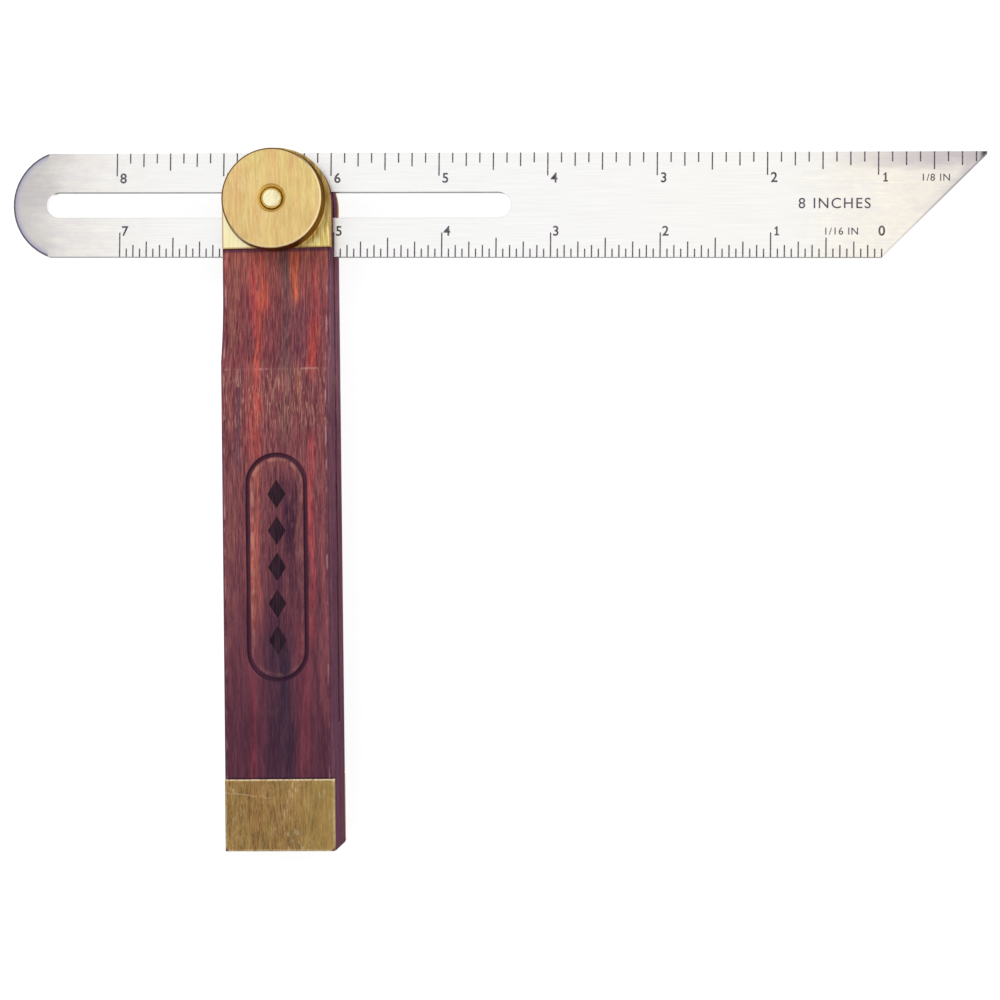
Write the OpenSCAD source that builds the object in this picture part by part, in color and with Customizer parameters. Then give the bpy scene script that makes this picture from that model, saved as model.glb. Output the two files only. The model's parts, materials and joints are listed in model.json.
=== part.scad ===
// Sliding T-bevel with an 8 inch rule blade, lying flat on its rear face. Millimetres.
// The origin is on the pivot axis at the rear face. The stock runs along -Y from the pivot,
// the blade's pointed end is towards +X, and the clamp knob faces +Z.

/* [Stock] */
// Width of the stock, and diameter of its round head
stock_w = 25.4; // [25:0.1:30]
// Thickness of the grip, from the rear face to the front face
stock_t = 18; // [17:0.1:20]
// Distance from the pivot to the butt end
butt_reach = 150; // [145:1:180]
// Radius of the eased long edges
edge_r = 0.8; // [0.4:0.1:1.2]
// Thickness of the wooden head, from the rear face to the face under the knob
head_t = 14; // [13.5:0.1:15]
// Distance from the pivot to the end of the head's flat
head_flat = 20; // [16:0.5:24]
// Distance from the pivot to the ridge where the hollow meets the grip
cove_end = 39; // [34:0.5:44]
// Width of the saw kerf that takes the blade
kerf_w = 2.3; // [2.2:0.05:2.5]
// Distance from the pivot to the bottom of the kerf
kerf_reach = 121; // [118:1:125]

/* [Grip groove] */
// Length of the oval outlined on the grip
oval_l = 52.6; // [40:0.1:60]
// Width of the oval
oval_w = 14.3; // [10:0.1:18]
// Distance from the pivot to the middle of the oval
oval_reach = 84.8; // [80:0.1:90]
// Width of the groove that outlines the oval
groove_w = 0.9; // [0.6:0.1:1.4]
// Depth of the groove
groove_d = 0.6; // [0.3:0.1:1]

/* [Brass plates] */
// Thickness of the two bolsters at the head
bolster_t = 2; // [1.8:0.1:2.2]
// How far the front bolster stands above the wood
bolster_proud = 0.5; // [0:0.1:0.6]
// Distance from the pivot to the straight edge of a bolster
bolster_reach = 10.7; // [9:0.1:13]
// Thickness of the two butt plates
butt_t = 1.5; // [1:0.1:2]
// Height of the two butt plates
butt_h = 16.6; // [12:0.1:20]

/* [Blade] */
// Thickness of the blade
blade_t = 2; // [1.8:0.05:2]
// Width of the blade
blade_w = 24.4; // [22:0.1:24.4]
// Angle from the stock to the blade
blade_angle = 88.7; // [80:0.1:100]
// Distance from the pivot to the point where the slanted end meets the upper edge
tip_reach = 164.6; // [160:0.1:170]
// Length ground off the sharp point
tip_blunt = 0.7; // [0.3:0.1:1]
// Distance from the pivot to the round end
tail_reach = 63.4; // [62:0.1:66]
// How far the round end bulges past its corners
tail_bulge = 8.4; // [6:0.1:11]
// Width of the slot
slot_w = 6; // [5.9:0.05:6.2]
// Distance from the pivot to the slot's end nearer the round end
slot_tail = 55.4; // [50:0.1:56]
// Distance from the pivot to the slot's end nearer the point
slot_tip = 54.5; // [50:0.1:60]

/* [Clamp] */
// Diameter of the clamp bolt
bolt_d = 4.8; // [4.6:0.1:5]
// Diameter of the bolt's flush head
bolt_head_d = 11; // [9:0.1:13]
// Thickness of the bolt's head
bolt_head_t = 1.1; // [0.8:0.1:1.2]
// Width across the bolt's square neck
neck_w = 6.4; // [5.6:0.1:7]
// Length of the square neck
neck_l = 2.4; // [2:0.1:3]
// Diameter of the washer under the knob
washer_d = 16; // [12:0.5:18]
// Thickness of the washer
washer_t = 0.4; // [0.3:0.1:1]
// Diameter of the knob
knob_d = 23.2; // [20:0.1:26]
// Thickness of the knob
knob_t = 6.1; // [5.5:0.1:7]
// Diameter of the dished ring round the bolt's end
dish_d = 6.7; // [6:0.1:7]

/* [Hidden] */
$fn = 96;

// Gap on the radius between the bolt and what turns on it
run_gap = 0.05;
// Gap on each side of the bush in the slot and in the kerf
bush_gap = 0.06;
// Clearance of the bolt in the wood, on the diameter
bolt_play = 0.4;
// Clearance of the square neck and of the bolt's head, on the width
neck_play = 0.1;
// Margin by which a cut passes the faces that it goes through
past = 1;

blade_mid = stock_t / 2;
bolster_front = head_t + bolster_proud;
knob_back = bolster_front + washer_t;
knob_front = knob_back + knob_t;
bush_d = slot_w - 2 * bush_gap;
cove_drop = stock_t - head_t;
cove_run = cove_end - head_flat;
cove_r = (cove_run ^ 2 + cove_drop ^ 2) / (2 * cove_drop);
tail_r = ((blade_w / 2) ^ 2 + tail_bulge ^ 2) / (2 * tail_bulge);
bolt_chamfer = 0.5;
bolt_end = knob_front - 0.1;
knob_chamfer = 0.3;
dish_h = 0.9;

// A bar with a round head about the origin and a straight end at y = -length
module headed_outline(length) {
    intersection() {
        union() {
            circle(d = stock_w);
            translate([-stock_w / 2, -length])
                square([stock_w, length]);
        }
        translate([-stock_w, -length])
            square([2 * stock_w, length + stock_w]);
    }
}

// A slot outline along X from x1 to x2, with round ends
module slot_outline(x1, x2, w) {
    r = w / 2;
    translate([x1 + r, -r])
        square([x2 - x1 - w, w]);
    for (x = [x1 + r, x2 - r])
        translate([x, 0])
            circle(r = r);
}

// The grip's section across its length, with the four long edges eased
module grip_section() {
    translate([-stock_w / 2, edge_r])
        square([stock_w, stock_t - 2 * edge_r]);
    translate([-stock_w / 2 + edge_r, 0])
        square([stock_w - 2 * edge_r, stock_t]);
    for (x = [-stock_w / 2 + edge_r, stock_w / 2 - edge_r], z = [edge_r, stock_t - edge_r])
        translate([x, z])
            circle(r = edge_r);
}

// The square-cornered cut across the whole stock between two distances from the pivot
module cross_cut(y1, y2, z1, z2) {
    translate([-stock_w / 2 - past, y1, z1])
        cube([stock_w + 2 * past, y2 - y1, z2 - z1]);
}

module head_cut() {
    top = stock_w / 2 + past;
    cross_cut(-head_flat, top, head_t, stock_t + past);
    intersection() {
        translate([0, -head_flat, head_t + cove_r])
            rotate([0, 90, 0])
                cylinder(r = cove_r, h = stock_w + 2 * past, center = true);
        cross_cut(-cove_end - past, -head_flat + past, 0, stock_t + past);
    }
}

module oval_groove() {
    translate([0, -oval_reach, stock_t - groove_d])
        rotate([0, 0, 90])
            linear_extrude(groove_d + past)
                difference() {
                    slot_outline(-oval_l / 2, oval_l / 2, oval_w);
                    slot_outline(-oval_l / 2 + groove_w, oval_l / 2 - groove_w, oval_w - 2 * groove_w);
                }
}

module plate_seats() {
    top = stock_w / 2 + past;
    butt_top = -butt_reach + butt_h;
    cross_cut(-bolster_reach, top, bolster_front - bolster_t, stock_t + past);
    cross_cut(-bolster_reach, top, -past, bolster_t);
    cross_cut(-butt_reach - past, butt_top, stock_t - butt_t, stock_t + past);
    cross_cut(-butt_reach - past, butt_top, -past, butt_t);
}

module neck_hole(z1, z2) {
    w = neck_w + neck_play;
    translate([-w / 2, -w / 2, z1])
        cube([w, w, z2 - z1]);
}

module stock() {
    color("#6e3330")
        difference() {
            intersection() {
                linear_extrude(stock_t)
                    headed_outline(butt_reach);
                translate([0, stock_w / 2 + past, 0])
                    rotate([90, 0, 0])
                        linear_extrude(butt_reach + stock_w / 2 + 2 * past)
                            grip_section();
            }
            head_cut();
            oval_groove();
            plate_seats();
            cross_cut(-kerf_reach, stock_w / 2 + past, blade_mid - kerf_w / 2, blade_mid + kerf_w / 2);
            translate([0, 0, -past])
                cylinder(d = bolt_d + bolt_play, h = stock_t + 2 * past);
            neck_hole(0, bolt_head_t + neck_l + neck_play);
        }
}

// The blade's outline before the slot is cut, with its length along X
module blade_outline() {
    tail_centre = -tail_reach + tail_r;
    intersection() {
        polygon([
            [-tail_reach - past, -blade_w / 2],
            [tip_reach - blade_w, -blade_w / 2],
            [tip_reach - tip_blunt, blade_w / 2 - tip_blunt],
            [tip_reach - tip_blunt, blade_w / 2],
            [-tail_reach - past, blade_w / 2]
        ]);
        union() {
            translate([tail_centre, 0])
                circle(r = tail_r);
            translate([tail_centre, -blade_w])
                square([tip_reach - tail_centre, 2 * blade_w]);
        }
    }
}

module blade() {
    color("#c9c9c6")
        rotate([0, 0, blade_angle - 90])
            translate([0, 0, blade_mid - blade_t / 2])
                linear_extrude(blade_t)
                    difference() {
                        blade_outline();
                        slot_outline(-slot_tail, slot_tip, slot_w);
                    }
}

module front_bolster() {
    color("#d9c878")
        translate([0, 0, bolster_front - bolster_t])
            difference() {
                linear_extrude(bolster_t)
                    headed_outline(bolster_reach);
                translate([0, 0, -past])
                    cylinder(d = bolt_d + bolt_play, h = bolster_t + 2 * past);
            }
}

module rear_bolster() {
    color("#cdb968")
        difference() {
            linear_extrude(bolster_t)
                headed_outline(bolster_reach);
            translate([0, 0, -past])
                cylinder(d = bolt_head_d + neck_play, h = bolt_head_t + past);
            neck_hole(0, bolster_t + past);
        }
}

module butt_plate(z) {
    translate([-stock_w / 2, -butt_reach, z])
        cube([stock_w, butt_h, butt_t]);
}

module front_butt_plate() {
    color("#a5863f")
        butt_plate(stock_t - butt_t);
}

module rear_butt_plate() {
    color("#a5863f")
        butt_plate(0);
}

module clamp_bolt() {
    r = bolt_d / 2;
    color("#e6dfae") {
        rotate_extrude()
            polygon([
                [0, 0],
                [bolt_head_d / 2, 0],
                [bolt_head_d / 2, bolt_head_t],
                [r, bolt_head_t],
                [r, bolt_end - bolt_chamfer],
                [r - bolt_chamfer, bolt_end],
                [0, bolt_end]
            ]);
        translate([-neck_w / 2, -neck_w / 2, bolt_head_t / 2])
            cube([neck_w, neck_w, bolt_head_t / 2 + neck_l]);
    }
}

// A flat ring on the bolt's axis, from z1 to z2
module ring(d, bore, z1, z2) {
    translate([0, 0, z1])
        difference() {
            cylinder(d = d, h = z2 - z1);
            translate([0, 0, -past])
                cylinder(d = bore, h = z2 - z1 + 2 * past);
        }
}

module slot_bush() {
    h = kerf_w - 2 * bush_gap;
    color("#c2a24e")
        ring(bush_d, bolt_d + 2 * run_gap, blade_mid - h / 2, blade_mid + h / 2);
}

module knob_washer() {
    color("#b0943f")
        ring(washer_d, bolt_d + bolt_play, bolster_front, knob_back);
}

module clamp_knob() {
    r = knob_d / 2;
    bore = bolt_d / 2 + run_gap;
    c = knob_chamfer;
    color("#dcb972")
        translate([0, 0, knob_back])
            rotate_extrude()
                polygon([
                    [bore, 0],
                    [r - c, 0],
                    [r, c],
                    [r, knob_t - c],
                    [r - c, knob_t],
                    [dish_d / 2, knob_t],
                    [bore, knob_t - dish_h]
                ]);
}

stock();
blade();
front_bolster();
rear_bolster();
front_butt_plate();
rear_butt_plate();
clamp_bolt();
slot_bush();
knob_washer();
clamp_knob();
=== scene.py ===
import json
import math

import bmesh
import bpy
from mathutils import Matrix, Vector

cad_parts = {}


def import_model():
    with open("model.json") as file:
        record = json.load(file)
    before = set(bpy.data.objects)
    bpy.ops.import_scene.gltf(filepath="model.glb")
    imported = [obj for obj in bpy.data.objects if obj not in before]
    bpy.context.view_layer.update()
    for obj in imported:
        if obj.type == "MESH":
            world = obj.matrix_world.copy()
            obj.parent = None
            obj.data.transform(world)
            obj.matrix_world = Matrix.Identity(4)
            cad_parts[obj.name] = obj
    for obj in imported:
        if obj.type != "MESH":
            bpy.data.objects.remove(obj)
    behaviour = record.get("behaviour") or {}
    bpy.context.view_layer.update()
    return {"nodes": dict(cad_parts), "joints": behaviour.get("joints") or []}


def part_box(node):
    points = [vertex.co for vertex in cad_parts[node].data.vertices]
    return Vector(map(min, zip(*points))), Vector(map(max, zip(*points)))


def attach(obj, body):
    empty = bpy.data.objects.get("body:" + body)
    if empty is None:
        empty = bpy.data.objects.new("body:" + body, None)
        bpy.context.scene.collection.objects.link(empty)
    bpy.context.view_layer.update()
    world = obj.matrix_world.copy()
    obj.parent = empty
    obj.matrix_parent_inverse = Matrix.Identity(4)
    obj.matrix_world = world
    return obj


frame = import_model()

MM = 0.001
INCH = 25.4 * MM

# ---------------------------------------------------------------- sizes and places, from the frame
SLIDE = next(j for j in frame["joints"] if j["name"] == "blade_slide")["axis"]
BLADE_TURN = math.atan2(SLIDE[1], SLIDE[0])
BLADE_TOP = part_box("blade")[1].z
STOCK_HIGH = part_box("stock")[1]
HALF_STOCK = STOCK_HIGH.x
STOCK_FACE = STOCK_HIGH.z
BOLSTER_LOW, BOLSTER_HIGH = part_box("front_bolster")
PLATE_LOW, PLATE_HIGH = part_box("front_butt_plate")
KNOB_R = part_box("clamp_knob")[1].x

# ---------------------------------------------------------------- the blade, in its own axes from the pivot
# Its own X runs along it towards the point; the round end is at TAIL_REACH
BLADE_HALF = 12.2 * MM
TIP_REACH = 164.6 * MM
TAIL_REACH = -63.4 * MM
TAIL_RADIUS = 13.06 * MM

# ---------------------------------------------------------------- the rule's marks
MARK_W = 0.32 * MM
MARK_RISE = 0.02 * MM
UPPER_ZERO = TIP_REACH
LOWER_ZERO = TIP_REACH - 24.6 * MM
UPPER_LINE = BLADE_HALF - 7.0 * MM
LOWER_LINE = -BLADE_HALF + 5.0 * MM
# Lengths of the marks, by how many of them make an inch
UPPER_LENGTHS = {1: 5.4 * MM, 2: 4.1 * MM, 4: 3.2 * MM, 8: 2.35 * MM}
LOWER_LENGTHS = {1: 5.7 * MM, 2: 4.5 * MM, 4: 3.6 * MM, 8: 2.8 * MM, 16: 1.95 * MM}
# Sizes of the lettering, and how far it is thickened
UPPER_SIZE = 3.25 * MM
LOWER_SIZE = 3.20 * MM
LEGEND_SIZE = 2.35 * MM
TITLE_SIZE = 3.45 * MM
BOLD = 0.060 * MM
LIGHT = 0.020 * MM

# ---------------------------------------------------------------- the ridge where the cove meets the grip
COVE_END = 39.0 * MM

# ---------------------------------------------------------------- the oval on the grip
OVAL_Y = -84.8 * MM
OVAL_HALF_L = 26.3 * MM
OVAL_R = 7.15 * MM

# The lozenges' spacing, and half their width and height
ORNAMENT_STEP = 8.4 * MM
ORNAMENT_HALF = (2.1 * MM, 3.3 * MM)

# ---------------------------------------------------------------- the dish round the bolt's end
DISH_R = 3.35 * MM

# ---------------------------------------------------------------- camera, as the object was seen
# Place in metres, turn about X, Y and Z in degrees, focal length and sensor in millimetres
CAMERA_AT = (0.087446, -0.081331, 0.524068)
CAMERA_TURN = (1.2135, 4.0684, -0.7474)
LENS = 79.94
SENSOR = 36.0

# ---------------------------------------------------------------- light and floor
KEY_AT = (-0.45, 0.60, 0.80)
KEY_AIM = (0.03, -0.05, 0)
KEY_SIDE = 0.5
KEY_WATTS = 7.0
FLOOR_REACH = 8.0
FLOOR_DROP = 0.05 * MM
FLOOR_GLOW = 0.82


# ---------------------------------------------------------------- shader nodes
class Look:
    """One material's node tree, with short ways to add the nodes that the looks share."""

    def __init__(self, name, turn=0.0):
        self.material = bpy.data.materials.new(name)
        self.material.use_nodes = True
        self.tree = self.material.node_tree
        self.shader = self.tree.nodes["Principled BSDF"]
        coordinates = self.add("ShaderNodeTexCoord")
        self.where = coordinates.outputs["Object"]
        self.normal = coordinates.outputs["Normal"]
        if turn:
            self.where = self.mapped(self.where, turn=-turn)

    def add(self, kind, **settings):
        node = self.tree.nodes.new(kind)
        for key, value in settings.items():
            setattr(node, key, value)
        return node

    def put(self, socket, value):
        """Links an output to a socket, or sets a plain value on it."""
        if isinstance(value, bpy.types.NodeSocket):
            self.tree.links.new(value, socket)
        elif socket.type == "RGBA":
            socket.default_value = (*value, 1.0)
        else:
            socket.default_value = value

    def mapped(self, vector, scale=(1, 1, 1), turn=0.0, shift=(0, 0, 0)):
        node = self.add("ShaderNodeMapping")
        self.put(node.inputs["Vector"], vector)
        node.inputs["Scale"].default_value = scale
        node.inputs["Rotation"].default_value = (0, 0, turn)
        node.inputs["Location"].default_value = shift
        return node.outputs["Vector"]

    def axes(self, vector):
        node = self.add("ShaderNodeSeparateXYZ")
        self.put(node.inputs[0], vector)
        return node.outputs[:3]

    def vector(self, x, y, z):
        node = self.add("ShaderNodeCombineXYZ")
        for socket, value in zip(node.inputs, (x, y, z)):
            self.put(socket, value)
        return node.outputs[0]

    def noise(self, scale, detail=3.0, rough=0.55, shift=(0, 0, 0), warp=0.0):
        """Noise whose features are about 1/scale of a metre along each axis."""
        node = self.add("ShaderNodeTexNoise")
        self.put(node.inputs["Vector"], self.mapped(self.where, scale=scale, shift=shift))
        node.inputs["Scale"].default_value = 1.0
        node.inputs["Detail"].default_value = detail
        node.inputs["Roughness"].default_value = rough
        node.inputs["Distortion"].default_value = warp
        return node.outputs["Fac"]

    def math(self, operation, a, b=0.0):
        node = self.add("ShaderNodeMath", operation=operation)
        self.put(node.inputs[0], a)
        self.put(node.inputs[1], b)
        return node.outputs[0]

    def sum(self, *terms):
        total = terms[0]
        for term in terms[1:]:
            total = self.math("ADD", total, term)
        return total

    def product(self, *terms):
        total = terms[0]
        for term in terms[1:]:
            total = self.math("MULTIPLY", total, term)
        return total

    def fit(self, value, low, high, out_low=0.0, out_high=1.0):
        """The value, eased from low..high to out_low..out_high and held inside them."""
        node = self.add("ShaderNodeMapRange", interpolation_type="SMOOTHSTEP")
        self.put(node.inputs["Value"], value)
        node.inputs["From Min"].default_value = low
        node.inputs["From Max"].default_value = high
        node.inputs["To Min"].default_value = out_low
        node.inputs["To Max"].default_value = out_high
        return node.outputs["Result"]

    def ramp(self, value, stops):
        """A colour ramp from (position, colour) stops."""
        node = self.add("ShaderNodeValToRGB")
        marks = node.color_ramp.elements
        while len(marks) < len(stops):
            marks.new(0.5)
        for mark, (position, colour) in zip(marks, stops):
            mark.position = position
            mark.color = (*colour, 1.0)
        self.put(node.inputs["Fac"], value)
        return node.outputs["Color"]

    def mix(self, share, a, b, blend="MIX"):
        node = self.add("ShaderNodeMix", data_type="RGBA", blend_type=blend, clamp_factor=True)
        colour_inputs = [socket for socket in node.inputs if socket.type == "RGBA"]
        self.put(node.inputs[0], share)
        self.put(colour_inputs[0], a)
        self.put(colour_inputs[1], b)
        return next(socket for socket in node.outputs if socket.type == "RGBA")

    def blend(self, share, a, b):
        """The number a where share is 0 and b where it is 1."""
        return self.sum(a, self.product(share, self.math("SUBTRACT", b, a)))

    def tilt(self, axis, low, high):
        """1 where the surface faces along the axis, either way, and 0 where it faces across it."""
        part = self.axes(self.normal)["XYZ".index(axis)]
        return self.fit(self.math("ABSOLUTE", part), low, high)

    def rim(self, low, high):
        """Distance in from the nearest side of a plate's box, seen along Z."""
        x, y = self.axes(self.where)[:2]
        sides = (
            self.math("SUBTRACT", x, low.x),
            self.math("SUBTRACT", high.x, x),
            self.math("SUBTRACT", y, low.y),
            self.math("SUBTRACT", high.y, y),
        )
        nearest = sides[0]
        for side in sides[1:]:
            nearest = self.math("MINIMUM", nearest, side)
        return nearest

    def bump(self, height, depth, strength):
        node = self.add("ShaderNodeBump")
        node.inputs["Strength"].default_value = strength
        node.inputs["Distance"].default_value = depth
        self.put(node.inputs["Height"], height)
        self.put(self.shader.inputs["Normal"], node.outputs["Normal"])

    def finish(self, base, roughness, metallic=0.0, specular=0.5):
        self.put(self.shader.inputs["Base Color"], base)
        self.put(self.shader.inputs["Roughness"], roughness)
        self.put(self.shader.inputs["Metallic"], metallic)
        self.put(self.shader.inputs["Specular IOR Level"], specular)
        return self.material


# ---------------------------------------------------------------- rosewood
# Streaks of the figure: middle across the stock, width, from and to along it (mm), colour, strength
STREAKS = (
    (-4.2, 2.6, -11, -25, (0.54, 0.090, 0.050), 0.72),
    (-6.0, 1.3, -12, -32, (0.40, 0.045, 0.055), 0.70),
    (-5.0, 2.0, -22, -40, (0.46, 0.080, 0.045), 0.62),
    (1.4, 3.0, -10, -39, (0.085, 0.055, 0.060), 0.70),
    (3.7, 1.6, -11, -23, (0.52, 0.120, 0.060), 0.75),
    (5.0, 3.8, -24, -40, (0.115, 0.040, 0.060), 0.55),
    (8.6, 1.8, -14, -26, (0.330, 0.055, 0.055), 0.45),
    (8.3, 2.2, -27, -41, (0.40, 0.055, 0.045), 0.62),
    (-10.4, 2.0, -12, -34, (0.200, 0.080, 0.060), 0.60),
    (-5.4, 3.2, -38, -60, (0.42, 0.075, 0.060), 0.68),
    (1.8, 2.6, -38, -56, (0.125, 0.085, 0.070), 0.60),
    (4.6, 2.6, -38, -48, (0.300, 0.120, 0.075), 0.45),
    (8.0, 3.4, -40, -56, (0.150, 0.045, 0.055), 0.50),
    (-9.0, 1.6, -40, -62, (0.085, 0.045, 0.065), 0.60),
    (-5.6, 2.6, -62, -99, (0.46, 0.120, 0.085), 0.66),
    (1.6, 8.5, -64, -116, (0.058, 0.020, 0.038), 0.90),
    (5.6, 1.4, -62, -84, (0.200, 0.080, 0.075), 0.40),
    (8.2, 1.3, -55, -102, (0.36, 0.060, 0.065), 0.62),
    (-10.6, 2.0, -60, -104, (0.210, 0.080, 0.070), 0.50),
    (0.4, 6.5, -100, -140, (0.036, 0.020, 0.038), 0.80),
    (-6.3, 1.8, -96, -140, (0.200, 0.036, 0.055), 0.55),
    (6.2, 3.0, -98, -140, (0.190, 0.040, 0.058), 0.60),
    (10.8, 1.6, -66, -120, (0.240, 0.070, 0.080), 0.50),
)


def rosewood():
    """Oiled rosewood: red, orange and near-black streaks, fine fibres, open pores, arrises drawn paler in
    patches, and painted shade under the bolster and along the long edges.
    """
    look = Look("rosewood")
    x, y, z = look.axes(look.where)
    sideways = look.tilt("X", 0.60, 0.80)
    endways = look.tilt("Y", 0.75, 0.90)
    wander = look.noise((70, 16, 70), detail=2)
    ripple = look.noise((420, 50, 420), detail=3)
    slope = look.product(look.math("SUBTRACT", z, STOCK_FACE), 0.08)
    figure = look.sum(x, slope, look.fit(wander, 0.3, 0.7, -0.8 * MM, 0.8 * MM),
                      look.fit(ripple, 0.3, 0.7, -0.4 * MM, 0.4 * MM))
    across = look.blend(sideways, x, z)
    along = look.blend(endways, y, look.product(z, 20.0))
    look.where = look.vector(across, along, look.product(sideways, 0.5))
    upper = look.fit(y, -115 * MM, -50 * MM, 0.45, 1.0)
    from_right = look.math("SUBTRACT", HALF_STOCK, x)

    colour = streaked(look, y, figure)
    colour = side_tones(look, colour, y, sideways, from_right)
    colour, fibre, pore = fibres(look, colour, y, upper)
    colour = groove_and_lip(look, colour, x, y, z)
    colour = brass_lines(look, colour, y)
    colour = worn_edges(look, colour, x, y, from_right, upper)

    look.bump(look.math("SUBTRACT", fibre, look.product(pore, 1.2)), 0.05 * MM, 0.6)
    sheen = look.blend(sideways, 0.03, 0.0)
    return look.finish(colour, look.fit(fibre, 0.3, 0.7, 0.48, 0.64), specular=sheen)


def streaked(look, y, figure):
    """The ground colour, which darkens towards the butt, with the streaks of the figure laid over it."""
    length = look.fit(y, -150 * MM, 0)
    length.node.interpolation_type = "LINEAR"
    colour = look.ramp(length, [
        (0.00, (0.075, 0.024, 0.040)),
        (0.18, (0.079, 0.025, 0.041)),
        (0.34, (0.115, 0.037, 0.051)),
        (0.55, (0.158, 0.049, 0.058)),
        (0.74, (0.182, 0.056, 0.060)),
        (0.76, (0.160, 0.043, 0.052)),
        (0.84, (0.178, 0.048, 0.054)),
        (0.93, (0.310, 0.090, 0.074)),
    ])
    patch = look.fit(look.noise((300, 34, 300), detail=3), 0.30, 0.70, 0.25, 1.25)
    for middle, width, start, end, tone, strength in STREAKS:
        off = look.math("ABSOLUTE", look.math("SUBTRACT", figure, middle * MM))
        beside = look.fit(off, 0.15 * width * MM, 0.75 * width * MM, 1.0, 0.0)
        far = look.math("ABSOLUTE", look.math("SUBTRACT", y, (start + end) / 2 * MM))
        reach = abs(end - start) / 2
        within = look.fit(far, (reach - 3) * MM, (reach + 3) * MM, 1.0, 0.0)
        colour = look.mix(look.product(beside, within, patch, strength), colour, tone)
    return colour


def side_tones(look, colour, y, sideways, from_right):
    """The plainer, more purple wood of the sides, and that tone laid on the front along the eased long edge
    on the right as painted shade.
    """
    tone = look.mix(look.noise((500, 14, 1), detail=3), (0.079, 0.031, 0.054), (0.176, 0.075, 0.111))
    paler = look.product(look.fit(y, -54 * MM, -40 * MM), look.fit(y, -20 * MM, -10 * MM, 1.0, 0.0))
    tone = look.mix(look.product(paler, 0.45), tone, (0.255, 0.125, 0.160))
    # Painted shade: the front face takes the sides' tone within a millimetre of the right long edge.
    right_edge_shade = look.fit(from_right, 0.60 * MM, 0.90 * MM, 1.0, 0.0)
    return look.mix(look.product(look.math("MAXIMUM", sideways, right_edge_shade), 0.85), colour, tone)


def fibres(look, colour, y, upper):
    """Fibres, the flecks torn up below the ridge, and open pores."""
    broad = look.fit(look.noise((900, 60, 1), detail=3, rough=0.6), 0.36, 0.64)
    bands = look.mix(broad, (0.80, 0.78, 0.83), (1.16, 1.15, 1.10))
    colour = look.mix(1.0, colour, bands, "MULTIPLY")
    fibre = look.noise((4600, 200, 1), detail=3, rough=0.7)
    shade = look.mix(look.fit(fibre, 0.34, 0.66), (0.48, 0.48, 0.58), (1.38, 1.33, 1.27))
    colour = look.mix(upper, colour, shade, "MULTIPLY")

    from_torn = look.math("ABSOLUTE", look.math("ADD", y, 45 * MM))
    torn = look.fit(from_torn, 4.5 * MM, 12 * MM, 0.85, 0.0)
    on_head = look.fit(y, -COVE_END - 0.2 * MM, -COVE_END)
    torn = look.product(torn, look.math("SUBTRACT", 1.0, on_head), look.tilt("Z", 0.8, 0.95))
    fleck = look.fit(look.noise((3000, 300, 1), detail=3, warp=0.6, shift=(7, 3, 1)), 0.52, 0.64)
    fleck = look.product(fleck, look.math("MAXIMUM", look.product(upper, upper, 0.30), torn))
    fleck_tone = look.mix(look.noise((900, 200, 1), detail=2), (0.30, 0.18, 0.11), (0.54, 0.25, 0.21))
    colour = look.mix(look.product(fleck, 0.66), colour, fleck_tone)
    pore = look.fit(look.noise((4600, 330, 1), detail=1, shift=(2, 9, 4)), 0.62, 0.70)
    return look.mix(look.product(pore, 0.55), colour, (0.045, 0.020, 0.035)), fibre, pore


def brass_lines(look, colour, y):
    """Painted shade on the wood under the bolster's edge, and the dark joint above the butt plate."""
    front = look.tilt("Z", 0.5, 0.8)
    # Painted shade: the wood just below the bolster's edge is darkened where the bolster's shade falls.
    off_bolster = look.math("SUBTRACT", BOLSTER_LOW.y, y)
    bolster_shade = look.product(look.fit(off_bolster, 0.55 * MM, 1.15 * MM, 1.0, 0.0), front)
    colour = look.mix(look.product(bolster_shade, 0.64), colour, (0.048, 0.017, 0.050))
    off_plate = look.math("ABSOLUTE", look.math("SUBTRACT", y, PLATE_HIGH.y))
    joint = look.product(look.fit(off_plate, 0.10 * MM, 0.50 * MM, 1.0, 0.0), front)
    return look.mix(look.product(joint, 0.80), colour, (0.022, 0.008, 0.020))


def worn_edges(look, colour, x, y, from_right, upper):
    """Painted shade in a dark line along each long edge, and the arrises and the ridge drawn paler in
    patches.
    """
    # Painted shade: a dark line just inside each long edge of the front.
    from_left = look.math("ADD", HALF_STOCK, x)
    left_dip = look.fit(from_left, 0.15 * MM, 0.45 * MM, 0.60, 0.0)
    right_dip = look.math("ABSOLUTE", look.math("SUBTRACT", from_right, 0.62 * MM))
    right_dip = look.fit(right_dip, 0.10 * MM, 0.30 * MM, 0.45, 0.0)
    shaded = look.product(look.math("MAXIMUM", left_dip, right_dip), look.tilt("Z", 0.15, 0.45))
    colour = look.mix(shaded, colour, (0.040, 0.016, 0.034))

    # Paler patches along the arrises and along the ridge.
    edge_patches = look.fit(look.noise((420, 160, 1), detail=4, shift=(5, 5, 5)), 0.48, 0.62)
    left_off = look.math("ABSOLUTE", look.math("SUBTRACT", from_left, 0.60 * MM))
    right_off = look.math("ABSOLUTE", look.math("SUBTRACT", from_right, 1.08 * MM))
    arris = look.fit(look.math("MINIMUM", left_off, right_off), 0.05 * MM, 0.30 * MM, 1.0, 0.0)
    arris = look.product(arris, look.tilt("Z", 0.35, 0.7), edge_patches, upper)
    ridge_off = look.math("ABSOLUTE", look.math("ADD", y, COVE_END + 0.1 * MM))
    ridge = look.fit(ridge_off, 0.05 * MM, 0.35 * MM, 1.0, 0.0)
    ridge = look.product(ridge, look.fit(edge_patches, 0.0, 1.0, 0.10, 0.7), look.tilt("Z", 0.6, 0.9))
    pale_edges = look.math("MAXIMUM", arris, ridge)
    return look.mix(look.product(pale_edges, 0.60), colour, (0.46, 0.24, 0.24))


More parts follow.
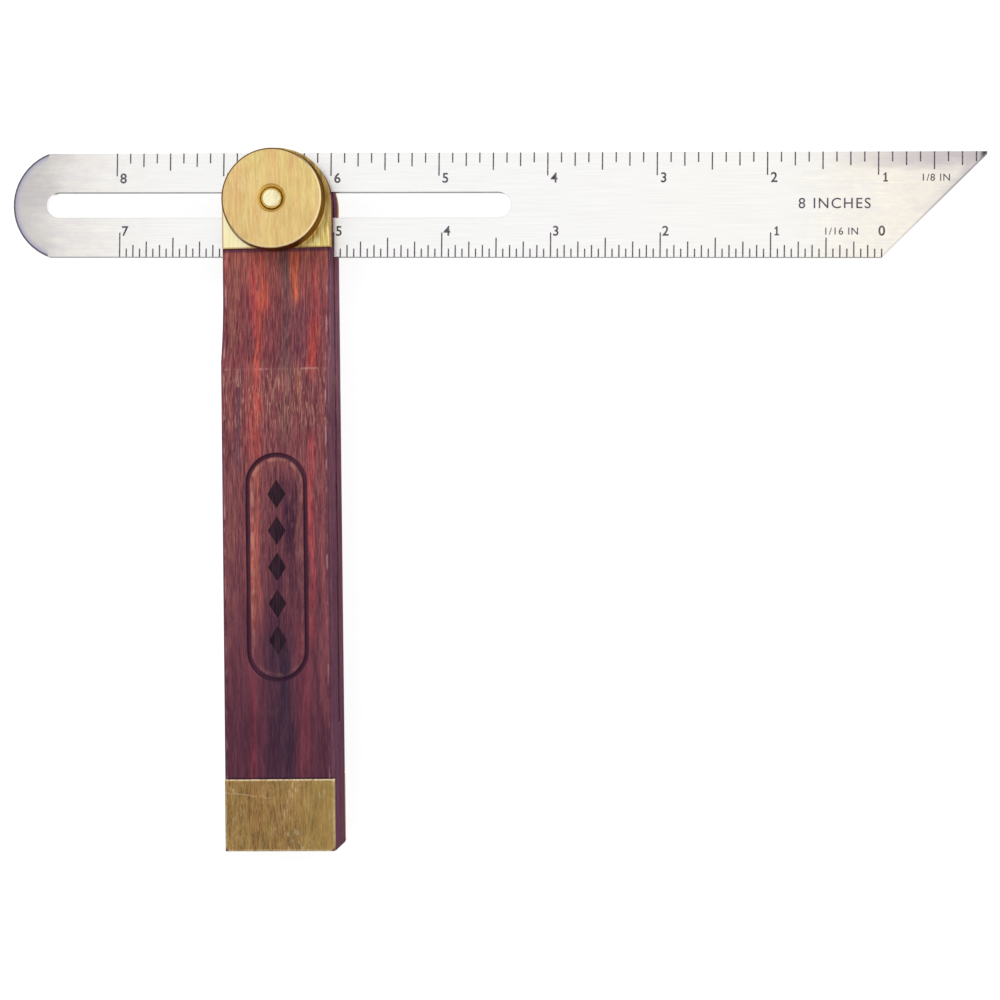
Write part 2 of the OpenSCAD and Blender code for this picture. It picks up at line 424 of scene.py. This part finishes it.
def groove_and_lip(look, colour, x, y, z):
    """The oval's groove, dark with old finish, and a painted highlight along the lip inside it, strongest
    on the upper left.
    """
    up = look.math("SUBTRACT", y, OVAL_Y)
    past_straight = look.math("SUBTRACT", look.math("ABSOLUTE", up), OVAL_HALF_L - OVAL_R)
    beyond = look.math("MAXIMUM", past_straight, 0.0)
    reach = look.math("SQRT", look.sum(look.product(beyond, beyond), look.product(x, x)))
    front = look.fit(z, STOCK_FACE - 2 * MM, STOCK_FACE - 1.5 * MM)
    # Painted highlight along the lip inside the groove, stronger on the upper left, the lit side.
    lip_off = look.math("ABSOLUTE", look.math("SUBTRACT", reach, OVAL_R - 1.5 * MM))
    left_lit = look.fit(look.math("SUBTRACT", x, look.product(up, 0.25)), -6 * MM, 2 * MM, 1.0, 0.25)
    patchy = look.fit(look.noise((500, 300, 1), detail=3), 0.40, 0.62)
    lip_highlight = look.product(look.fit(lip_off, 0.1 * MM, 0.7 * MM, 1.0, 0.0), front, patchy, left_lit)
    colour = look.mix(look.product(lip_highlight, 0.45), colour, (0.46, 0.22, 0.16))
    groove_off = look.math("ABSOLUTE", look.math("SUBTRACT", reach, OVAL_R - 0.45 * MM))
    groove = look.product(look.fit(groove_off, 0.38 * MM, 0.72 * MM, 1.0, 0.0), front)
    return look.mix(look.product(groove, 0.80), colour, (0.050, 0.018, 0.038))


# ---------------------------------------------------------------- metals
def brass(name, pale, deep, blush, shaded_wall, rough, turn=0.0, lines=(3000, 260), spread=(0.38, 0.62)):
    """Brushed brass: brush lines along Y, two hues of tarnish, walls darkened as painted shade, hairlines
    and pale nicks.

    Returns the look, its colour and its brushing, for finish_brass after any wear is added."""
    look = Look(name, turn)
    brush = look.noise((lines[0], lines[1], lines[0]), detail=4, rough=0.75)
    broad = look.noise((lines[0] / 5, lines[1] / 4, lines[0] / 5), detail=3, shift=(6, 2, 9))
    cloud = look.noise((150, 110, 150), detail=3, shift=(3, 1, 5))
    tone = look.sum(look.product(brush, 0.62), look.product(broad, 0.20), look.product(cloud, 0.18))
    colour = look.mix(look.fit(tone, *spread), deep, pale)
    warm = look.fit(look.noise((420, 60, 420), detail=3, shift=(8, 8, 1)), 0.42, 0.62)
    colour = look.mix(look.product(warm, 0.55), colour, look.mix(1.0, colour, blush, "MULTIPLY"))
    scratch = look.noise((900, 60, 900), detail=2, warp=1.5, shift=(1, 8, 2))
    hair = look.math("ABSOLUTE", look.math("SUBTRACT", scratch, 0.5))
    hair = look.product(look.fit(hair, 0.004, 0.010, 1.0, 0.0), look.fit(cloud, 0.50, 0.62))
    nick = look.fit(look.noise((2100, 620, 2100), detail=1, shift=(4, 4, 7)), 0.58, 0.66)
    nick = look.product(nick, look.fit(look.noise((170, 150, 170), detail=2, shift=(9, 1, 3)), 0.55, 0.62))
    mark = look.math("MAXIMUM", look.product(hair, 0.30), look.product(nick, 0.18))
    colour = look.mix(mark, colour, (0.95, 0.87, 0.70))
    # Painted shade: walls that face sideways take a darker tone than the upward face.
    shaded_wall_tone = look.mix(look.fit(brush, 0.35, 0.65), shaded_wall, [0.6 * part for part in shaded_wall])
    colour = look.mix(look.tilt("Z", 0.25, 0.50), shaded_wall_tone, colour)
    look.bump(look.math("SUBTRACT", brush, look.product(mark, 0.5)), 0.012 * MM, 0.5)
    look.put(look.shader.inputs["Roughness"], look.fit(tone, 0.3, 0.7, rough + 0.08, rough))
    look.put(look.shader.inputs["Metallic"], 1.0)
    look.put(look.shader.inputs["Specular Tint"], (0.62, 0.48, 0.34))
    return look, colour, brush


def finish_brass(look, colour):
    look.put(look.shader.inputs["Base Color"], colour)
    return look.material


def knob_brass():
    """Warm brass with a painted highlight and shade round its face's border, an ochre dish and a wall
    darkened as painted shade.
    """
    look, colour, _ = brass("knob_brass", (0.80, 0.62, 0.25), (0.66, 0.43, 0.18), (1.04, 0.88, 1.02),
                            (0.260, 0.132, 0.050), 0.34, lines=(2500, 210), spread=(0.36, 0.62))
    x, y, _ = look.axes(look.where)
    yellow = look.product(look.fit(look.math("ADD", x, look.product(y, 1.5)), -4 * MM, 14 * MM), 0.8)
    colour = look.mix(yellow, colour, look.mix(1.0, colour, (1.02, 1.10, 1.02), "MULTIPLY"))
    radius = look.math("SQRT", look.sum(look.product(x, x), look.product(y, y)))
    # Painted highlight and shade round the face's border: dark on the upper left, pale on the lower right.
    border = look.fit(radius, KNOB_R - 0.50 * MM, KNOB_R - 0.28 * MM)
    border = look.product(border, look.tilt("Z", 0.5, 0.65))
    lit = look.fit(look.math("SUBTRACT", x, y), -6 * MM, 6 * MM)
    border_light_and_shade = look.mix(lit, (0.100, 0.046, 0.022), (0.95, 0.76, 0.44))
    colour = look.mix(look.product(border, 0.9), colour, border_light_and_shade)
    dish = look.fit(radius, DISH_R - 0.20 * MM, DISH_R + 0.05 * MM, 0.9, 0.0)
    colour = look.mix(dish, colour, (0.78, 0.50, 0.13))
    return finish_brass(look, colour)


def bolster_brass():
    """Pale brush-lined brass with painted shade: streaked yellower and darker towards one side, darker
    beside the knob, a painted shadow round the knob, and an ochre line at its edges.
    """
    look, colour, brush = brass("bolster_brass", (1.00, 0.95, 0.66), (0.92, 0.82, 0.46), (1.0, 0.94, 0.80),
                                (0.110, 0.050, 0.035), 0.28, lines=(2600, 110))
    x, y, _ = look.axes(look.where)
    face = look.tilt("Z", 0.5, 0.65)
    # Painted shade and reflection: the right side is streaked yellower and darker, as in the knob's shade.
    side = look.fit(x, -HALF_STOCK * 0.5, HALF_STOCK * 0.6)
    shaded_streaks = look.mix(look.fit(look.noise((3400, 260, 3400), detail=3, shift=(3, 6, 6)), 0.38, 0.60),
                       (0.58, 0.41, 0.08), (1.00, 0.84, 0.36))
    colour = look.mix(look.product(side, 0.9), colour, shaded_streaks)
    # Painted shade: darker ochre-brown beside the knob, towards the head's rounded end.
    knob_shade = look.product(look.fit(x, 0, 7 * MM), look.fit(y, -4 * MM, 2 * MM))
    knob_shade_tone = look.mix(look.fit(brush, 0.4, 0.6), (0.24, 0.13, 0.03), (0.52, 0.34, 0.08))
    colour = look.mix(look.product(knob_shade, 0.85), colour, knob_shade_tone)
    # Painted shadow: a dark ring round the knob, offset towards the upper left.
    from_x = look.math("ADD", x, 0.45 * MM)
    from_y = look.math("SUBTRACT", y, 0.45 * MM)
    ring = look.math("SQRT", look.sum(look.product(from_x, from_x), look.product(from_y, from_y)))
    knob_shadow = look.fit(ring, KNOB_R + 0.35 * MM, KNOB_R + 0.60 * MM, 1.0, 0.0)
    colour = look.mix(look.product(knob_shadow, face, 0.9), colour, (0.105, 0.045, 0.026))
    # Painted shade: an ochre line along the plate's edges, standing in for shade on the rounded edge.
    edge = look.fit(look.rim(BOLSTER_LOW, BOLSTER_HIGH), 0.20 * MM, 0.45 * MM, 1.0, 0.0)
    colour = look.mix(look.product(edge, 0.75, face), colour, (0.42, 0.26, 0.07))
    return finish_brass(look, colour)


def butt_brass():
    """Aged olive-brown brass with rubbed pale borders, brightest along the top edge as a painted highlight,
    long scratches and grime in its lower corners.
    """
    look, colour, _ = brass("butt_brass", (0.40, 0.255, 0.086), (0.110, 0.062, 0.028), (1.05, 0.88, 0.95),
                            (0.120, 0.060, 0.045), 0.36, lines=(4200, 420), spread=(0.32, 0.64))
    x, y, _ = look.axes(look.where)
    colour = look.mix(look.fit(x, 0, HALF_STOCK, 0.0, 0.35), colour, (0.46, 0.32, 0.10))
    inset = look.rim(PLATE_LOW, PLATE_HIGH)
    patchy = look.fit(look.noise((1100, 1100, 1100), detail=3), 0.30, 0.60, 0.30, 1.0)
    # Painted highlight: the pale border is strongest along the top edge, where the bevel catches the light.
    # Elsewhere it is wear.
    lit_top_edge = look.fit(look.math("SUBTRACT", PLATE_HIGH.y, y), 0.35 * MM, 0.80 * MM, 1.0, 0.35)
    border = look.product(look.fit(inset, 0.22 * MM, 0.62 * MM, 1.0, 0.0), patchy, lit_top_edge)
    colour = look.mix(look.product(border, 0.95), colour, (0.84, 0.68, 0.43))
    waver = look.fit(look.noise((200, 40, 200), detail=3), 0.3, 0.7, -0.3 * MM, 0.3 * MM)
    score_y = look.sum(y, look.product(x, 0.12), waver)
    score = look.math("ABSOLUTE", look.math("SUBTRACT", score_y, PLATE_HIGH.y - 4.6 * MM))
    score = look.product(look.fit(score, 0.04 * MM, 0.16 * MM, 1.0, 0.0), look.fit(x, 0, -3 * MM), patchy)
    colour = look.mix(look.product(score, 0.4), colour, (0.62, 0.49, 0.29))
    from_side = look.math("SUBTRACT", HALF_STOCK, look.math("ABSOLUTE", x))
    corner = look.sum(look.math("SUBTRACT", y, PLATE_LOW.y), from_side)
    colour = look.mix(look.fit(corner, 0.7 * MM, 1.2 * MM, 0.85, 0.0), colour, (0.095, 0.048, 0.060))
    return finish_brass(look, colour)


def bolt_brass():
    """Bright pale brass, filed and scratched across the bolt's end."""
    look, colour, _ = brass("bolt_brass", (0.96, 0.88, 0.58), (0.58, 0.46, 0.22), (0.98, 1.0, 0.92),
                            (0.50, 0.36, 0.14), 0.28, turn=math.radians(-45), lines=(2600, 420),
                            spread=(0.36, 0.56))
    return finish_brass(look, colour)


def blade_steel():
    """Brushed stainless along the blade, its tone graded as a painted reflection: greyer at the round end,
    cream and mauve towards the point.
    """
    look = Look("blade_steel", BLADE_TURN)
    x, y, _ = look.axes(look.where)
    brush = look.noise((60, 5200, 900), detail=4, rough=0.7)
    cloud = look.noise((70, 170, 70), detail=4, shift=(4, 2, 0))
    shift = look.fit(cloud, 0.3, 0.7, -3 * MM, 3 * MM)
    slant = look.sum(look.math("SUBTRACT", TIP_REACH - BLADE_HALF, x), y)
    place = look.fit(look.math("ADD", x, shift), TAIL_REACH, TIP_REACH)
    place.node.interpolation_type = "LINEAR"
    # Painted reflection: the tone along the blade stands in for the darker and brighter surroundings it
    # reflects.
    colour = look.ramp(place, [
        (0.00, (0.560, 0.535, 0.540)),
        (0.03, (0.630, 0.605, 0.595)),
        (0.06, (0.810, 0.785, 0.765)),
        (0.11, (0.890, 0.875, 0.855)),
        (0.18, (0.920, 0.915, 0.905)),
        (0.50, (0.925, 0.922, 0.915)),
        (0.80, (0.930, 0.918, 0.890)),
        (0.90, (0.928, 0.882, 0.800)),
        (1.00, (0.860, 0.810, 0.745)),
    ])
    colour = tarnish(look, colour, x, y, slant, shift)
    lines = look.mix(look.fit(brush, 0.35, 0.65), (0.955, 0.955, 0.96), (1.035, 1.035, 1.03))
    colour = look.mix(1.0, colour, lines, "MULTIPLY")
    colour = blade_outline(look, colour, x, y, slant)
    # Painted shade and reflection: walls along the long edges are dark, the end walls pale.
    shaded_wall = look.mix(look.tilt("Y", 0.80, 0.995), (0.950, 0.945, 0.935), (0.150, 0.145, 0.150))
    colour = look.mix(look.tilt("Z", 0.30, 0.60), shaded_wall, colour)
    look.bump(brush, 0.006 * MM, 0.35)
    return look.finish(colour, look.fit(cloud, 0.3, 0.7, 0.30, 0.38), metallic=1.0)


def tarnish(look, colour, x, y, slant, shift):
    """Mottled at both of the blade's ends, with painted reflections: darker near the point's upper edge and
    along the slanted cut, and black at the very point.
    """
    ends = look.math("MAXIMUM", look.fit(x, -20 * MM, -50 * MM), look.fit(x, 110 * MM, 140 * MM))
    mottle = look.noise((300, 700, 260), detail=5, rough=0.7, shift=(2, 7, 1))
    end_mottle = look.mix(look.fit(mottle, 0.36, 0.64), (0.955, 0.945, 0.965), (1.03, 1.025, 0.985))
    colour = look.mix(ends, colour, look.mix(1.0, colour, end_mottle, "MULTIPLY"))
    # Painted reflection: a darker, mauve zone near the upper edge towards the point.
    near_top = look.fit(look.sum(y, look.product(shift, 0.35)), 7.5 * MM, 11.2 * MM)
    tip_reflection = look.product(look.fit(x, 118 * MM, 158 * MM), near_top)
    colour = look.mix(look.product(tip_reflection, 0.80), colour, (0.530, 0.470, 0.505))
    # Painted reflection: darker along the slanted cut.
    near_cut = look.fit(look.math("ADD", slant, shift), 0.5 * MM, 5.5 * MM, 1.0, 0.0)
    near_cut = look.product(near_cut, look.fit(y, -4 * MM, 9 * MM))
    colour = look.mix(look.product(near_cut, 0.60), colour, (0.500, 0.455, 0.475))
    # Painted reflection: the very point is black.
    point = look.fit(x, 161.9 * MM, 163.2 * MM)
    return look.mix(look.product(point, 0.95), colour, (0.045, 0.040, 0.048))


def blade_outline(look, colour, x, y, slant):
    """The round end's blued border with a dark arc of painted reflection, and a dark line of painted
    reflection along the slanted cut.
    """
    from_hub = look.math("SUBTRACT", x, TAIL_REACH + TAIL_RADIUS)
    radius = look.math("SQRT", look.sum(look.product(from_hub, from_hub), look.product(y, y)))
    inset = look.math("SUBTRACT", TAIL_RADIUS, radius)
    round_end = look.fit(x, TAIL_REACH + 8.6 * MM, TAIL_REACH + 8.2 * MM)
    blued = look.product(look.fit(inset, 0.4 * MM, 1.7 * MM, 1.0, 0.0), round_end)
    colour = look.mix(look.product(blued, 0.70), colour, (0.370, 0.365, 0.560))
    # Painted reflection: a dark arc on the round end's edge bevel.
    dark_arc = look.product(look.fit(inset, 0.30 * MM, 0.62 * MM, 1.0, 0.0), round_end)
    # Painted reflection: a dark grey line along the slanted cut's bevel.
    cut = look.fit(slant, 0.35 * MM, 0.85 * MM, 1.0, 0.0)
    cut = look.product(cut, look.fit(y, -11 * MM, 7 * MM, 0.35, 1.0))
    colour = look.mix(look.product(cut, 0.75), colour, (0.300, 0.290, 0.310))
    return look.mix(look.product(dark_arc, look.tilt("Z", 0.10, 0.30)), colour, (0.130, 0.110, 0.125))


def ink():
    """Dark etching of the rule's marks, slightly uneven."""
    look = Look("scale_ink", BLADE_TURN)
    fade = look.noise((1500, 1500, 1500), detail=2)
    colour = look.mix(look.fit(fade, 0.35, 0.7), (0.055, 0.045, 0.060), (0.140, 0.122, 0.145))
    return look.finish(colour, 0.6, specular=0.2)


# ---------------------------------------------------------------- pieces
def new_piece(name, mesh, material, body):
    """Links a new mesh to the scene, riding on a body."""
    piece = bpy.data.objects.new(name, mesh)
    bpy.context.scene.collection.objects.link(piece)
    mesh.materials.append(material)
    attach(piece, body)
    return piece


def dress(node, material, ease):
    """Gives a CAD node its material and, by modifiers, eased edges that catch the light."""
    piece = frame["nodes"][node]
    piece.data.materials.clear()
    piece.data.materials.append(material)
    for face in piece.data.polygons:
        face.use_smooth = True
    weld = piece.modifiers.new("weld", "WELD")
    weld.merge_threshold = 0.001 * MM
    planar = piece.modifiers.new("planar", "DECIMATE")
    planar.decimate_type = "DISSOLVE"
    planar.angle_limit = math.radians(0.5)
    bevel = piece.modifiers.new("ease", "BEVEL")
    bevel.width = ease
    bevel.segments = 3
    bevel.limit_method = "ANGLE"
    bevel.angle_limit = math.radians(30)
    bevel.miter_outer = "MITER_ARC"
    smooth = piece.modifiers.new("smooth", "WEIGHTED_NORMAL")
    smooth.keep_sharp = True


def on_blade(mesh):
    """Turns a mesh from the blade's own axes to the frame's, lying on the blade's upper face."""
    mesh.transform(Matrix.Rotation(BLADE_TURN, 4, "Z") @ Matrix.Translation((0, 0, BLADE_TOP)))
    return mesh


def plates(name, outlines):
    """A mesh of thin flat plates, one for each outline in the blade's own axes."""
    bm = bmesh.new()
    for outline in outlines:
        low = [bm.verts.new((x, y, -MARK_RISE)) for x, y in outline]
        high = [bm.verts.new((x, y, MARK_RISE)) for x, y in outline]
        bm.faces.new(high)
        bm.faces.new(low[::-1])
        for i in range(len(outline)):
            bm.faces.new((low[i - 1], low[i], high[i], high[i - 1]))
    bmesh.ops.recalc_face_normals(bm, faces=bm.faces)
    mesh = bpy.data.meshes.new(name)
    bm.to_mesh(mesh)
    bm.free()
    return mesh


def bar(x, y_from, y_to):
    half = MARK_W / 2
    return [(x - half, y_from), (x + half, y_from), (x + half, y_to), (x - half, y_to)]


def scale_marks(zero, inches, per_inch, lengths, edge):
    """Outlines of one scale's marks, from the blade's edge inwards, counted back from its zero."""
    inward = -1 if edge > 0 else 1
    marks = []
    for i in range(1, inches * per_inch + 1):
        step = next(s for s in lengths if (i * s) % per_inch == 0)
        x = zero - i * INCH / per_inch
        room = TIP_REACH - x - MARK_W if edge > 0 else lengths[step]
        marks.append(bar(x, edge, edge + inward * min(lengths[step], room)))
    return marks


def lettering(text, size, x, y, bold=0.0, spacing=1.0, centre=False):
    """Figures as flat plates, with the first one's lower left corner at x, y, or centred on x."""
    curve = bpy.data.curves.new("text", "FONT")
    curve.body = text
    curve.size = size
    curve.offset = bold
    curve.extrude = MARK_RISE
    curve.space_character = spacing
    curve.align_x = "CENTER" if centre else "LEFT"
    holder = bpy.data.objects.new("text", curve)
    bpy.context.scene.collection.objects.link(holder)
    bpy.context.view_layer.update()
    mesh = bpy.data.meshes.new_from_object(holder.evaluated_get(bpy.context.evaluated_depsgraph_get()))
    bpy.data.objects.remove(holder)
    mesh.transform(Matrix.Translation((x, y, 0)))
    return mesh


def figure_one(size, x, y):
    """Outline of the figure 1 with the flag and the foot that the rule's numerals have."""
    stem, foot = 0.19 * MM, 0.52 * MM
    left, middle, right = x, x + foot, x + 2 * foot
    low, high = y + 0.34 * MM, y + 0.66 * size
    return [
        (left, y), (right, y), (right, low), (middle + stem, low), (middle + stem, high),
        (middle - 0.12 * MM, high), (left, high - 0.42 * MM), (left, high - 0.74 * MM),
        (middle - stem, high - 0.52 * MM), (middle - stem, low), (left, low),
    ]


def joined(name, meshes):
    bm = bmesh.new()
    for mesh in meshes:
        bm.from_mesh(mesh)
    result = bpy.data.meshes.new(name)
    bm.to_mesh(result)
    bm.free()
    return result


def rule(material):
    """The blade's two scales with their numerals, and plain legends for what they count."""
    upper_marks = scale_marks(UPPER_ZERO, 8, 8, UPPER_LENGTHS, BLADE_HALF)
    lower_marks = scale_marks(LOWER_ZERO, 7, 16, LOWER_LENGTHS, -BLADE_HALF)
    lower_marks.append(bar(LOWER_ZERO, -BLADE_HALF, -BLADE_HALF + LOWER_LENGTHS[16]))
    upper_x = UPPER_ZERO + 0.7 * MM
    lower_x = LOWER_ZERO + 0.4 * MM
    upper = [lettering(str(n), UPPER_SIZE, upper_x - n * INCH, UPPER_LINE, BOLD) for n in range(2, 9)]
    lower = [lettering(str(n), LOWER_SIZE, lower_x - n * INCH, LOWER_LINE, BOLD) for n in range(2, 8)]
    lower.append(lettering("0", LOWER_SIZE, LOWER_ZERO, LOWER_LINE, BOLD, centre=True))
    upper.append(plates("one", [figure_one(UPPER_SIZE, UPPER_ZERO - INCH + 1.1 * MM, UPPER_LINE)]))
    lower.append(plates("one", [figure_one(LOWER_SIZE, LOWER_ZERO - INCH + 0.9 * MM, LOWER_LINE)]))
    upper_legend = (UPPER_ZERO - 12.4 * MM, UPPER_LINE + 0.2 * MM)
    lower_legend = (LOWER_ZERO - 9.3 * MM, LOWER_LINE + 0.2 * MM)
    legends = [
        lettering("1/8 IN", LEGEND_SIZE, *upper_legend, LIGHT, 1.12, True),
        lettering("1/16 IN", LEGEND_SIZE, *lower_legend, LIGHT, 1.12, True),
        lettering("8 INCHES", TITLE_SIZE, UPPER_ZERO - 35.4 * MM, -0.9 * MM, LIGHT, 1.18, True),
    ]
    pieces = {
        "upper_scale": plates("upper_scale", upper_marks),
        "lower_scale": plates("lower_scale", lower_marks),
        "upper_numerals": joined("upper_numerals", upper),
        "lower_numerals": joined("lower_numerals", lower),
        "scale_legends": joined("scale_legends", legends),
    }
    for name, mesh in pieces.items():
        new_piece(name, on_blade(mesh), material, "blade_body")


def burnt():
    """Wood scorched nearly black, for the ornament in the oval."""
    look = Look("burnt_rosewood")
    fibre = look.noise((2600, 160, 2600), detail=3, rough=0.7)
    colour = look.mix(look.fit(fibre, 0.36, 0.66), (0.010, 0.004, 0.009), (0.034, 0.014, 0.022))
    return look.finish(colour, 0.75, specular=0.1)


def ornament(material):
    """A plain column of burnt lozenges down the middle of the oval."""
    half_w, half_h = ORNAMENT_HALF
    middles = [OVAL_Y + step * ORNAMENT_STEP for step in (-2, -1, 0, 1, 2)]
    outlines = [[(0, y - half_h), (half_w, y), (0, y + half_h), (-half_w, y)] for y in middles]
    mesh = plates("grip_ornament", outlines)
    mesh.transform(Matrix.Translation((0, 0, STOCK_FACE)))
    new_piece("grip_ornament", mesh, material, "stock_body")


# ---------------------------------------------------------------- stage
def floor():
    """A plain pale floor, clear from below, that glows so that shadows on it stay faint."""
    look = Look("floor")
    soft = look.noise((6, 6, 6), detail=2)
    pale = look.mix(soft, (0.27, 0.27, 0.27), (0.29, 0.29, 0.29))
    look.finish(pale, 0.9, specular=0.0)
    look.shader.inputs["Emission Color"].default_value = (1, 1, 1, 1)
    look.shader.inputs["Emission Strength"].default_value = FLOOR_GLOW
    clear = look.add("ShaderNodeBsdfTransparent").outputs[0]
    sided = look.add("ShaderNodeMixShader")
    look.put(sided.inputs[0], look.add("ShaderNodeNewGeometry").outputs["Backfacing"])
    look.put(sided.inputs[1], look.shader.outputs[0])
    look.put(sided.inputs[2], clear)
    look.put(look.tree.nodes["Material Output"].inputs["Surface"], sided.outputs[0])
    far = FLOOR_REACH
    corners = [(-far, -far, 0), (far, -far, 0), (far, far, 0), (-far, far, 0)]
    mesh = bpy.data.meshes.new("floor")
    mesh.from_pydata(corners, [], [(0, 1, 2, 3)])
    mesh.materials.append(look.material)
    sheet = bpy.data.objects.new("floor", mesh)
    sheet.location.z = -FLOOR_DROP
    bpy.context.scene.collection.objects.link(sheet)


def world():
    """Soft white light from above, dark towards the horizon except on the side of the blade's point."""
    sky = bpy.data.worlds.new("studio")
    sky.use_nodes = True
    tree = sky.node_tree
    where = tree.nodes.new("ShaderNodeTexCoord")
    split = tree.nodes.new("ShaderNodeSeparateXYZ")
    tree.links.new(where.outputs["Generated"], split.inputs[0])

    def spread(source, low, high, out_low, out_high):
        node = tree.nodes.new("ShaderNodeMapRange")
        node.interpolation_type = "SMOOTHSTEP"
        tree.links.new(source, node.inputs["Value"])
        limits = {"From Min": low, "From Max": high, "To Max": out_high}
        for name, value in limits.items():
            node.inputs[name].default_value = value
        if isinstance(out_low, bpy.types.NodeSocket):
            tree.links.new(out_low, node.inputs["To Min"])
        else:
            node.inputs["To Min"].default_value = out_low
        return node.outputs["Result"]

    horizon = spread(split.outputs["X"], 0.20, 0.95, 0.16, 1.05)
    strength = spread(split.outputs["Z"], 0.08, 0.72, horizon, 1.03)
    tree.links.new(strength, tree.nodes["Background"].inputs["Strength"])
    tree.nodes["Background"].inputs["Color"].default_value = (1, 1, 1, 1)
    bpy.context.scene.world = sky


def key_light():
    """A square soft light beyond the head, towards the blade's round end, that no reflection shows."""
    lamp = bpy.data.lights.new("key", "AREA")
    lamp.shape = "RECTANGLE"
    lamp.size = KEY_SIDE
    lamp.size_y = KEY_SIDE
    lamp.energy = KEY_WATTS
    holder = bpy.data.objects.new("key", lamp)
    holder.location = KEY_AT
    holder.rotation_euler = (Vector(KEY_AIM) - Vector(KEY_AT)).to_track_quat("-Z", "Y").to_euler()
    holder.visible_glossy = False
    bpy.context.scene.collection.objects.link(holder)


def camera():
    data = bpy.data.cameras.new("camera")
    data.lens = LENS
    data.sensor_width = SENSOR
    data.clip_start = 0.01
    data.clip_end = 20.0
    holder = bpy.data.objects.new("camera", data)
    holder.location = CAMERA_AT
    holder.rotation_euler = [math.radians(angle) for angle in CAMERA_TURN]
    bpy.context.scene.collection.objects.link(holder)
    bpy.context.scene.camera = holder


# ---------------------------------------------------------------- the scene
camera()
world()
key_light()
floor()
bpy.context.scene.view_settings.view_transform = "Standard"

wood = rosewood()
steel = blade_steel()
knob = knob_brass()
bolster = bolster_brass()
butt = butt_brass()
bolt = bolt_brass()

dress("stock", wood, 0.15 * MM)
dress("blade", steel, 0.12 * MM)
dress("front_bolster", bolster, 0.12 * MM)
dress("rear_bolster", bolster, 0.12 * MM)
dress("front_butt_plate", butt, 0.22 * MM)
dress("rear_butt_plate", butt, 0.22 * MM)
dress("clamp_bolt", bolt, 0.08 * MM)
dress("slot_bush", bolt, 0.05 * MM)
dress("knob_washer", knob, 0.05 * MM)
dress("clamp_knob", knob, 0.10 * MM)
rule(ink())
ornament(burnt())
